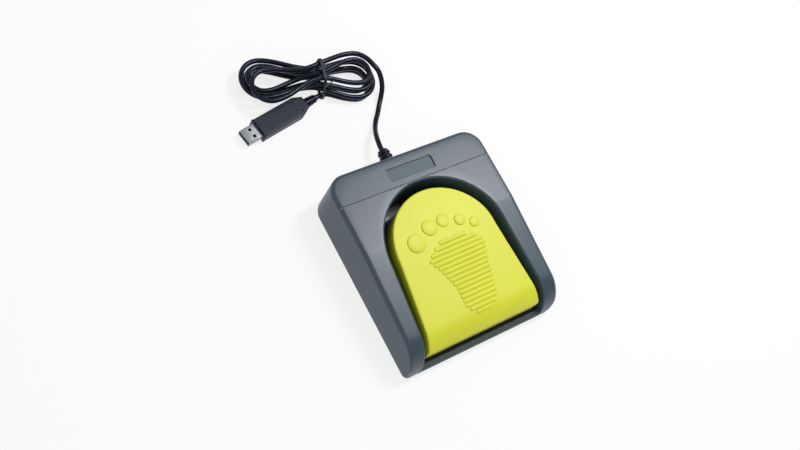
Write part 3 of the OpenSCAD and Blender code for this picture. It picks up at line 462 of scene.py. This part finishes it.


# USB shell. Nickel plated sheet folded into a flat tube, with two square windows on each side for
# the socket's springs, round a dark tongue with gold plated contacts. It is held in the plug case.
usb_w, usb_h, usb_l, usb_in, usb_t = 12.0, 4.5, 12.0, 6.0, 0.3
usb_fold_r = 0.65
mouth_edge = 0.15
shell_profile = ((usb_in, 0), (mouth_edge - usb_l, 0), (-usb_l, 0.1), (-usb_l, 0.2),
                 (mouth_edge - usb_l, usb_t), (usb_in, usb_t))
window, window_r = 2.3, 0.3
window_x, window_y = -usb_l * 0.42, usb_w * 0.24


def shell_ring(x, inset):
    """The tube's section at a distance from the case, drawn in by an inset."""
    section = round_corners(usb_w - 2 * inset, usb_h - 2 * inset, usb_fold_r - inset)
    return [at_plug((x, p.x, p.y + plug_mid)) for p in section]


shell_rings = [shell_ring(x, inset) for x, inset in shell_profile]
usb_tube = ringed_piece("usb_shell_tube", shell_rings, closed=True)
windows = []
for side in (-1, 1):
    corners = round_corners(window, window, window_r, steps=3)
    opening = [(p.x + window_x, p.y + side * window_y) for p in corners]
    windows.append(prism("window_cut", opening, 0, plug_h, at_plug))
cut_away(usb_tube, windows)
nickel = surface("nickel_plate", shade(172, 176, 182), 0.36, tone=0.04, tone_size=5,
                 grain_size=0.5, grain_depth=0.004, metal=1.0)
usb_tube.data.materials.append(nickel)
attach(usb_tube, "housing_body")
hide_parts("usb_shell")
# The tongue is painted dark, as dark as the plug's mouth looks.
dress("usb_tongue", surface("tongue_plastic", shade(30, 32, 37), 0.5, tone=0.05, tone_size=4))
gold = surface("gold_plate", shade(214, 178, 92), 0.28, tone=0.05, tone_size=3, grain_size=0.3,
               grain_depth=0.003, metal=1.0)
dress("usb_contacts", gold)


# Strain reliefs. Soft black mouldings shot over the cable, ringed so that they bend evenly: one
# clipped in the housing's rear wall, one held between the halves of the plug case.
relief_base = Vector((0, 70, 13))
relief_l, relief_base_d, relief_tip_d, relief_groove = 14, 11.5, 9, 0.9
boot_base_d, boot_tip_d, boot_groove = 8, 6, 0.7
relief_ribs = 4
rib_start, rib_side = 0.01, 0.35
rib_shape = ((0.05, 0.1), (0.13, 0), (0.45, 0), (0.53, 0.1), (0.58, rib_side))
neck_shares = (0.6, 0.97)


def ring_round(centre, r, side, up, steps):
    """Points of a circle round a centre, in the plane of two directions."""
    turns = [2 * math.pi * k / steps for k in range(steps)]
    return [centre + r * (math.cos(a) * side + math.sin(a) * up) for a in turns]


def ringed_cone(length, base_d, tip_d, groove):
    """Profile of a tapered relief: round-edged ribs with narrower necks between them."""
    pitch = length / relief_ribs
    profile = [(0, cable_d / 2)]
    for k in range(relief_ribs):
        x = k * pitch
        r = (base_d + (tip_d - base_d) * (x + 0.3 * pitch) / length) / 2
        profile.append((x + rib_start, r - rib_side))
        profile += [(x + share * pitch, r - drop) for share, drop in rib_shape]
        profile += [(x + share * pitch, r - groove) for share in neck_shares]
    return profile + [(length, profile[-1][1]), (length, cable_d / 2)]


def strain_relief(name, profile, base, along):
    """A relief turned from its profile about an axis that starts at its base."""
    side = Vector((along.y, -along.x, 0)).normalized()
    up = side.cross(along)
    rings = [ring_round(base + along * x, r, side, up, steps=40) for x, r in profile]
    return ringed_piece(name, rings, closed=True, sharp=45)


relief = strain_relief("relief_rings",
                       ringed_cone(relief_l, relief_base_d, relief_tip_d, relief_groove),
                       relief_base, Vector((0, 1, 0)))
boot = strain_relief("boot_rings", ringed_cone(boot_l, boot_base_d, boot_tip_d, boot_groove),
                     at_plug((plug_l, 0, plug_mid)),
                     Vector((math.cos(plug_turn), math.sin(plug_turn), 0)))
for piece, node in ((relief, "strain_relief"), (boot, "plug_boot")):
    piece.data.materials.append(jacket)
    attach(piece, "housing_body")
    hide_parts(node)
dress("inner_cable", jacket)


# Base plate. A dark grey moulded floor with the hinge lugs, spring spigots and switch bracket, held
# by four screws from below and standing on four rubber feet. Two rubber stops on it end the
# pedal's way down.
base_plastic = surface("base_plastic", shade(66, 71, 76), 0.55, tone_size=25, grain_size=0.35,
                       grain_depth=0.03)
dress("base_plate", base_plastic)
steel = surface("plated_steel", shade(196, 198, 202), 0.3, tone=0.05, tone_size=4,
                grain_depth=0.006, metal=1.0)
dress("case_screws", steel)
foot_rubber = surface("foot_rubber", shade(38, 39, 40), 0.8, tone_size=4, grain_size=0.5,
                      grain_depth=0.05)
dress("rubber_feet", foot_rubber)
dress("bump_stops", foot_rubber)


# Upper housing. One grey moulded cap with a finely sparked skin: flat behind, sloping to a round
# nose on each arm, with an arched well for the pedal, a low bar across the well's mouth, a bare
# label recess, and two ledges in the well that stop the pedal's rise.
body_w, body_l, body_h = 127, 140, 37
foot_proud = 1.5
y_front, y_back = -body_l / 2, body_l / 2
y_bend = y_front + 81.5
nose_l = 20
y_nose = y_front + nose_l
slope = 5.7 / (y_bend - y_nose)
bend_soft = 0.8
nose_low = foot_proud + 2
wall, well_wall, edge_r, rim_r = 2.5, 2, 3, 1.6
rear_corner_r, front_corner_r = 14, 4
well_r = body_w / 2 - 16
well_front = body_w / 2 - 11.5
arch_y = y_back - 24 - well_r
well_floor = 4.3
deck_steps, slope_steps, arch_steps = 6, 12, 75
groove_y, groove_w, groove_depth = y_back - 22.8, 0.9, 0.9
label_w, label_l, label_depth, label_r = 38, 10, 1.1, 1.5
label_y = y_back - 8.5 - label_l / 2
bar_top, bar_t, bar_r, bar_end = foot_proud + 8, 4, 0.8, 1
bar_steps = 5
pedal_gap = 6.5
ledge_low, ledge_h, ledge_w, ledge_edge = 19, 3, 3, 0.3
ledge_y = arch_y + (well_r - pedal_gap) * 0.84
ledge_in_r, ledge_out_r = 43.1, 48.5


def slope_z(y):
    """Height of the flat top and its slope, with the bend between them a little soft."""
    ahead = y_bend - y
    if ahead <= -bend_soft:
        return body_h
    if ahead < bend_soft:
        ahead = (ahead + bend_soft) ** 2 / (4 * bend_soft)
    return body_h - slope * ahead


def top_z(y):
    """Height of the top, which falls in a quarter of an ellipse at the nose."""
    t = max(0, min(1, (y_nose - y) / nose_l))
    return slope_z(y) - (slope_z(y_front) - nose_low) * (1 - math.sqrt(1 - t * t))


def well_half(y):
    """Half the width of the well: an arch, then sides that flare to the front."""
    if y > arch_y:
        return math.sqrt(well_r ** 2 - (y - arch_y) ** 2)
    return well_r + (well_front - well_r) * (arch_y - y) / (arch_y - y_front)


def side_half(y):
    """Half the width of the housing, with the front corners rounded."""
    ahead = max(0, y_front + front_corner_r - y)
    return body_w / 2 - front_corner_r + math.sqrt(front_corner_r ** 2 - ahead ** 2)


def outer_at(angle):
    """Place on the outline seen from the arch's centre at an angle, and its inward direction."""
    c, s = math.cos(angle), math.sin(angle)
    corner = Vector((body_w / 2 - rear_corner_r, y_back - rear_corner_r))
    p = Vector((0, 2 * y_back))
    if c > 0.01:
        p = Vector((body_w / 2, arch_y + body_w / 2 * s / c))
    if p.y <= corner.y:
        return p, Vector((-1, 0))
    p = Vector(((y_back - arch_y) * c / s, y_back))
    if p.x <= corner.x:
        return p, Vector((0, -1))
    ray, centre = Vector((c, s)), Vector((0, arch_y)) - corner
    square = ray.dot(centre) ** 2 - centre.length_squared + rear_corner_r ** 2
    p = Vector((0, arch_y)) + ray * (-ray.dot(centre) + math.sqrt(square))
    return p, (corner - p).normalized()


def housing_slice(outer, outer_in, well, well_in):
    """A slice through the cap: up the outside, over the top, down into the well, closed below."""
    low, high = foot_proud, top_z(outer.y)
    r, rim = min(edge_r, (high - low) / 2), min(rim_r, (high - low) / 2)
    turn = [(1 - math.cos(a), 1 - math.sin(a)) for a in map(math.radians, range(0, 91, 10))]
    edge = [(outer + outer_in * r * inset, r * drop) for inset, drop in turn]
    lip = [(well + well_in * rim * inset, rim * drop) for inset, drop in reversed(turn)]
    deck = [(edge[-1][0].lerp(lip[0][0], k / deck_steps), 0) for k in range(1, deck_steps)]
    points = [(p.x, p.y, top_z(p.y) - drop) for p, drop in edge + deck + lip]
    inside = min(well_floor, (low + high) / 2)
    inner = outer + outer_in * wall
    below = ((well, inside), (well + well_in * well_wall, inside), (inner, inside),
             (inner, low), (outer, low))
    return points + [(p.x, p.y, z) for p, z in below]


right = Vector((1, 0))
stations = [y_nose - nose_l * math.sin(math.radians(a)) for a in range(90, 0, -5)]
stations += [y_nose + (y_bend - bend_soft - y_nose) * k / slope_steps
             for k in range(slope_steps + 1)]
slices = [housing_slice(Vector((side_half(y), y)), -right, Vector((well_half(y), y)), right)
          for y in stations]
first_in = math.asin((y_bend - arch_y) / well_r)
first_out = math.atan2(y_bend - arch_y, body_w / 2)
for k in range(arch_steps + 1):
    share = k / arch_steps
    turn_in = first_in + (math.pi / 2 - first_in) * share
    out, inward = outer_at(first_out + (math.pi / 2 - first_out) * share)
    spoke = Vector((math.cos(turn_in), math.sin(turn_in)))
    rim_way = right.lerp(spoke, min(1, share * 4)).normalized()
    slices.append(housing_slice(out, inward, Vector((0, arch_y)) + spoke * well_r, rim_way))
slices += [[(-x, y, z) for x, y, z in s] for s in reversed(slices[:-1])]
housing = ringed_piece("housing_cap", slices)
groove = [(x * body_w, groove_y + y * groove_w / 2) for x, y in four_corners]
label = [(p.x, p.y + label_y) for p in round_corners(label_w, label_l, label_r)]
cut_away(housing, [prism("groove_cut", groove, body_h - groove_depth, body_h + cut_over, Vector),
                   prism("label_cut", label, body_h - label_depth, body_h + cut_over, Vector)])

bar_profile = [(y_front + bar_t, foot_proud), (y_front, foot_proud), (y_front, nose_low)]
for k in range(1, bar_steps + 1):
    z = nose_low + (bar_top - bar_r - nose_low) * k / bar_steps
    fallen = (slope_z(y_front) - z) / (slope_z(y_front) - nose_low)
    bar_profile.append((y_nose - nose_l * math.sqrt(1 - (1 - fallen) ** 2), z))
bar_face = bar_profile[-1][0]
for degrees in range(15, 91, 15):
    a = math.radians(degrees)
    bar_profile.append((bar_face + bar_r * (1 - math.cos(a)), bar_top - bar_r * (1 - math.sin(a))))
for degrees in range(0, 91, 15):
    a = math.radians(degrees)
    bar_profile.append((y_front + bar_t - bar_r * (1 - math.sin(a)),
                        bar_top - bar_r * (1 - math.cos(a))))
bar = ringed_piece("front_bar", [[(x, y, z) for y, z in bar_profile]
                                 for x in (-well_front - bar_end, well_front + bar_end)])

ledges = []
for side in (-1, 1):
    rings = []
    for along, shy in ((-ledge_w / 2, ledge_edge), (ledge_edge - ledge_w / 2, 0),
                       (ledge_w / 2 - ledge_edge, 0), (ledge_w / 2, ledge_edge)):
        y = ledge_y + along
        near, far = [math.sqrt(r * r - (y - arch_y) ** 2) for r in (ledge_in_r + shy, ledge_out_r)]
        ledge_top = ledge_low + ledge_h - shy
        section = ((near, ledge_low), (far, ledge_low), (far, ledge_top),
                   (near + ledge_edge, ledge_top), (near, ledge_top - ledge_edge))
        rings.append([(side * x, y, z) for x, z in section])
    ledges.append(ringed_piece("stop_bar", rings))
housing_plastic = surface("housing_plastic", shade(52, 69, 81), 0.37, tone=0.06, tone_size=2.2,
                          grain_size=0.8, grain_depth=0.035)
matt_plastic = surface("matt_housing_plastic", shade(82, 98, 105), 0.6, tone=0.04, tone_size=2.2,
                       grain_size=0.8)
# The bar is the housing's plastic painted darker, as painted shade under the pedal, and matt.
bar_plastic_painted_shade = surface("bar_plastic_painted_shade", shade(54, 64, 68), 0.7, tone=0.04, tone_size=2.2,
                      grain_size=0.8)
for piece in (housing, bar, *ledges):
    piece.data.materials.append(bar_plastic_painted_shade if piece == bar else housing_plastic)
    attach(piece, "housing_body")
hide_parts("upper_housing")
housing.data.materials.append(matt_plastic)
for face in housing.data.polygons:
    at_floor = abs(face.center.z / mm - body_h + label_depth) < 0.01
    if at_floor and abs(face.center.x / mm) < label_w / 2:
        face.material_index = 1


# Pedal. A lime yellow moulded treadle with deep skirts and rounded edges, a soft bend that follows
# the housing, and a footprint in relief: five toes and a ribbed sole. Ears under its heel hold it
# on the hinge.
pedal_drop, pedal_t, pedal_edge_r = 2, 2.5, 1.2
pedal_r = well_r - pedal_gap
pedal_front, front_gap = y_front + 6, 4
pedal_front_half = well_half(pedal_front) - front_gap
pedal_corner_r, least_corner_r = 1.2, 0.3
skirt_front, skirt_back, skirt_edge = 9.5, 15.6, 0.4
side_steps = 9
pad_sides, pad_root, print_rise = 32, -0.08, 0.9
toes = [(-23.5, 6, 13.6), (-9, 12.8, 11.8), (2.8, 13.8, 9.6), (15.4, 10.2, 8.6), (25, 4.8, 7.2)]
sole_left = [(-54, -3), (-51, -8), (-46, -11), (-33, -11), (-20, -15.5), (-10, -21), (-5, -17),
             (1, -6)]
sole_right = [(-54, 6), (-51, 12), (-46, 16.5), (-33, 19.3), (-20, 22.6), (-9, 27), (-3, 22),
              (1, 13)]
rib_pitch, rib_d, rib_count = 3.3, 3.0, 17
toe_profile = ((0.35, pad_root), (0.08, 0.03), (0, 0.2), (-0.06, 0.55), (-0.2, 0.78),
               (-0.5, print_rise))
rib_profile = ((1.15, pad_root), (1.02, 0.03), (0.96, 0.24), (0.86, 0.5), (0.68, 0.71),
               (0.42, 0.84), (0.05, print_rise))


def pedal_z(y):
    return top_z(y) - pedal_drop


def skirt_z(y):
    """Height of the skirt's lower edge, which rises to the rear."""
    share = (skirt_back - skirt_front) * (y - pedal_front) / (arch_y + pedal_r - pedal_front)
    return skirt_front + share


def pedal_side(y):
    return pedal_r + (pedal_front_half - pedal_r) * (arch_y - y) / (arch_y - pedal_front)


def pedal_outline(inset):
    """Half of the pedal seen from above, from its rear to its front, drawn in by an inset."""
    half = []
    for k in range(30):
        a = math.radians(88.5 - 3 * k)
        half.append(((pedal_r - inset) * math.cos(a), arch_y + (pedal_r - inset) * math.sin(a)))
    stops = [arch_y + (y_nose - arch_y) * k / side_steps for k in range(side_steps + 1)]
    stops += [y_nose - nose_l * math.sin(math.radians(a)) for a in (5, 10, 15, 20, 25, 29, 33)]
    half += [(pedal_side(y) - inset, y) for y in stops]
    front = pedal_front + min(inset, pedal_t)
    corner = max(least_corner_r, pedal_corner_r - inset)
    side = pedal_side(front) - inset
    for degrees in range(0, 91, 18):
        a = math.radians(degrees)
        half.append((side - corner + corner * math.cos(a), front + corner - corner * math.sin(a)))
    return half


def pedal_ring(inset, height):
    half = pedal_outline(inset)
    return [(x, y, height(y)) for x, y in half] + [(-x, y, height(y)) for x, y in reversed(half)]


def edge_height(drop):
    """Height on the rounded edge, whose radius is cut where the skirt is low."""
    def height(y):
        return pedal_z(y) - min(pedal_edge_r, (pedal_z(y) - skirt_z(y)) / 2) / pedal_edge_r * drop
    return height


pedal_rings = [pedal_ring(pedal_t, lambda y: pedal_z(y) - pedal_t), pedal_ring(pedal_t, skirt_z),
               pedal_ring(skirt_edge, skirt_z), pedal_ring(0, lambda y: skirt_z(y) + skirt_edge)]
for degrees in range(0, 91, 10):
    a = math.radians(degrees)
    height = edge_height(pedal_edge_r * (1 - math.sin(a)))
    pedal_rings.append(pedal_ring(pedal_edge_r * (1 - math.cos(a)), height))
pedal_points = [p for ring in pedal_rings for p in ring]
pedal_faces = band(pedal_rings)
n = len(pedal_rings[0])
for first in (0, len(pedal_points) - n):
    pedal_faces += [(first + k, first + k + 1, first + n - 2 - k, first + n - 1 - k)
                    for k in range(n // 2 - 1)]


def raised_pad(left_end, right_end, y, profile):
    """Adds a disc, or a bar with round ends, in relief on the top, from radius and height pairs."""
    first = len(pedal_points)
    rings = []
    for r, h in profile:
        ring = []
        for k in range(pad_sides):
            a = 2 * math.pi * (k + 0.5) / pad_sides - math.pi / 2
            end = right_end if k < pad_sides // 2 else left_end
            q = Vector((end + r * math.cos(a), y + r * math.sin(a)))
            ring.append((q.x, q.y, pedal_z(q.y) + h))
        rings.append(ring)
    pedal_points.extend(p for ring in rings for p in ring)
    pedal_faces.extend(band(rings, first))
    for start in (first, len(pedal_points) - pad_sides):
        pedal_faces.append(tuple(range(start, start + pad_sides)))


def edge_at(y, edge):
    """Place of the sole's edge at a distance along the pedal."""
    for (y0, x0), (y1, x1) in zip(edge, edge[1:]):
        if y <= y1:
            return x0 + (x1 - x0) * (y - y0) / (y1 - y0)


for x, y, d in toes:
    r = d / 2
    toe_top = [(0.3 * r, print_rise)]
    raised_pad(x, x, y, [(r + more, h) for more, h in toe_profile] + toe_top)
for k in range(rib_count):
    y = -rib_pitch * k
    r = rib_d / 2
    raised_pad(edge_at(y, sole_left) + r, edge_at(y, sole_right) - r, y,
               [(share * r, h) for share, h in rib_profile])
pedal = new_piece("pedal_treadle", pedal_points, pedal_faces, sharp=50)
pedal_plastic = surface("lime_plastic", shade(212, 214, 48), 0.48, tone=0.02, tone_size=40,
                        grain_size=0.3, grain_depth=0.012)
pedal.data.materials.append(pedal_plastic)
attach(pedal, "pedal_body")
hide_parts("pedal")


# Hinge. A plated steel pin pressed through the base plate's lugs and kept by two clips. Bushes of
# ivory bearing plastic in the pedal's ears turn on it.
dress("hinge_pin", steel)
dress("hinge_clips", surface("clip_steel", shade(120, 124, 130), 0.35, tone_size=3, metal=1.0))
dress("pedal_bushes", surface("bush_plastic", shade(232, 230, 220), 0.4, tone=0.03, tone_size=5))


# Return springs. Two coils of spring wire between the base plate and the pedal, on moulded spigots,
# drawn at one length and fixed to the housing.
spring_x, spring_y = 24, 5
spring_d, spring_wire, spring_h, spring_turns = 10, 1.1, 18, 6
spring_base = 4.02
points_a_turn, wire_sides = 28, 10


def wire_rings(line, r):
    """Rings of a round wire along a line of points."""
    rings = []
    for k, p in enumerate(line):
        along = (line[min(k + 1, len(line) - 1)] - line[max(k - 1, 0)]).normalized()
        side = along.cross(Vector((0, 0, 1))).normalized()
        rings.append(ring_round(p, r, side, side.cross(along), wire_sides))
    return rings


spring_steel = surface("spring_steel", shade(178, 181, 186), 0.3, tone=0.06, tone_size=3, metal=1.0)
for side, node in ((-1, "return_spring_left"), (1, "return_spring_right")):
    middle_r = (spring_d - spring_wire) / 2
    steps = points_a_turn * spring_turns
    coil = []
    for k in range(steps + 1):
        a = 2 * math.pi * spring_turns * k / steps
        coil.append(Vector((side * spring_x + middle_r * math.cos(a),
                            spring_y + middle_r * math.sin(a),
                            spring_base + spring_wire / 2 + (spring_h - spring_wire) * k / steps)))
    spring = ringed_piece(node + "_coil", wire_rings(coil, spring_wire / 2))
    spring.data.materials.append(spring_steel)
    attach(spring, "housing_body")
    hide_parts(node)
    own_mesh(spring)


# Switch. A snap-action switch in a black moulded case, screwed to the bracket. Its red plunger is
# pressed by a sheet steel lever, and gold plated tabs at its end take the wires.
switch_plastic = surface("switch_plastic", shade(44, 46, 49), 0.45, tone_size=6, grain_size=0.25)
dress("switch_case", switch_plastic)
dress("switch_plunger", surface("plunger_plastic", shade(176, 58, 46), 0.4, tone_size=3))
dress("switch_lever", steel)
dress("switch_terminals", gold)
dress("switch_screws", steel)


# Cable entry inside. A moulded clamp bar grips the cable with two screws, and two thin wires run on
# to the switch.
dress("cable_clamp", surface("clamp_plastic", shade(70, 75, 80), 0.55, tone_size=8, grain_size=0.3))
dress("clamp_screws", steel)
# Their red and grey jackets are painted a dark red-brown, as painted shade deep in the housing.
dress("lead_wires", surface("wire_jacket_painted_shade", shade(78, 40, 38), 0.5, tone_size=5))


# Table and light. A plain white table, shown mostly in its own light so that the shadow on it stays
# faint. A soft strip high at the rear right lays its sheen across the housing; a weak panel stands
# at the front left, and the white surround is a little brighter at the left.
table_half = 40
table_glow = 0.78
left_x, right_x = -0.8, 0.6
left_light, right_light = 0.65, 0.45
light_aim = Vector((0, 0.02, 0.037))
lamps = (
    ("strip", (0.372, 0.134, 0.737), 0.1, 0.3, 4.0),
    ("panel", (-0.75, -0.55, 0.8), 0.5, 0.5, 0.8),
)

table_mesh = bpy.data.meshes.new("table")
table_mesh.from_pydata([(x * table_half, y * table_half, 0) for x, y in four_corners], [],
                       [(0, 1, 2, 3)])
table = bpy.data.objects.new("table", table_mesh)
scene.collection.objects.link(table)
white = bpy.data.materials.new("table_white")
white.use_nodes = True
tree = white.node_tree
paint = tree.nodes["Principled BSDF"]
paint.inputs["Base Color"].default_value = (0.92, 0.92, 0.92, 1)
paint.inputs["Roughness"].default_value = 0.9
paint.inputs["Specular IOR Level"].default_value = 0.1
glow = tree.nodes.new("ShaderNodeEmission")
glow.inputs["Color"].default_value = (1, 1, 1, 1)
glow.inputs["Strength"].default_value = 1
seen = tree.nodes.new("ShaderNodeLightPath")
mirrored = tree.nodes.new("ShaderNodeMath")
mirrored.operation = "MAXIMUM"
tree.links.new(seen.outputs["Is Glossy Ray"], mirrored.inputs[0])
tree.links.new(seen.outputs["Is Transmission Ray"], mirrored.inputs[1])
shown = tree.nodes.new("ShaderNodeMath")
shown.operation = "MAXIMUM"
tree.links.new(seen.outputs["Is Camera Ray"], shown.inputs[0])
tree.links.new(mirrored.outputs[0], shown.inputs[1])
part_seen = tree.nodes.new("ShaderNodeMath")
part_seen.operation = "MULTIPLY"
part_seen.inputs[1].default_value = table_glow
tree.links.new(shown.outputs[0], part_seen.inputs[0])
both = tree.nodes.new("ShaderNodeMixShader")
tree.links.new(part_seen.outputs[0], both.inputs["Fac"])
tree.links.new(paint.outputs["BSDF"], both.inputs[1])
tree.links.new(glow.outputs["Emission"], both.inputs[2])
tree.links.new(both.outputs["Shader"], tree.nodes["Material Output"].inputs["Surface"])
table_mesh.materials.append(white)

world = bpy.data.worlds.new("surround")
scene.world = world
world.use_nodes = True
tree = world.node_tree
way = tree.nodes.new("ShaderNodeTexCoord")
split = tree.nodes.new("ShaderNodeSeparateXYZ")
tree.links.new(way.outputs["Generated"], split.inputs["Vector"])
fade = tree.nodes.new("ShaderNodeMapRange")
fade.inputs["From Min"].default_value = left_x
fade.inputs["From Max"].default_value = right_x
fade.inputs["To Min"].default_value = left_light
fade.inputs["To Max"].default_value = right_light
tree.links.new(split.outputs["X"], fade.inputs["Value"])
sky = tree.nodes["Background"]
sky.inputs["Color"].default_value = (0.97, 0.98, 1, 1)
tree.links.new(fade.outputs["Result"], sky.inputs["Strength"])

for name, place, width, height, power in lamps:
    lamp = bpy.data.lights.new(name, "AREA")
    lamp.shape = "RECTANGLE"
    lamp.size, lamp.size_y = width, height
    lamp.energy = power
    light = bpy.data.objects.new(name, lamp)
    light.location = place
    light.rotation_euler = (light_aim - light.location).to_track_quat("-Z", "Y").to_euler()
    scene.collection.objects.link(light)

bpy.context.view_layer.update()
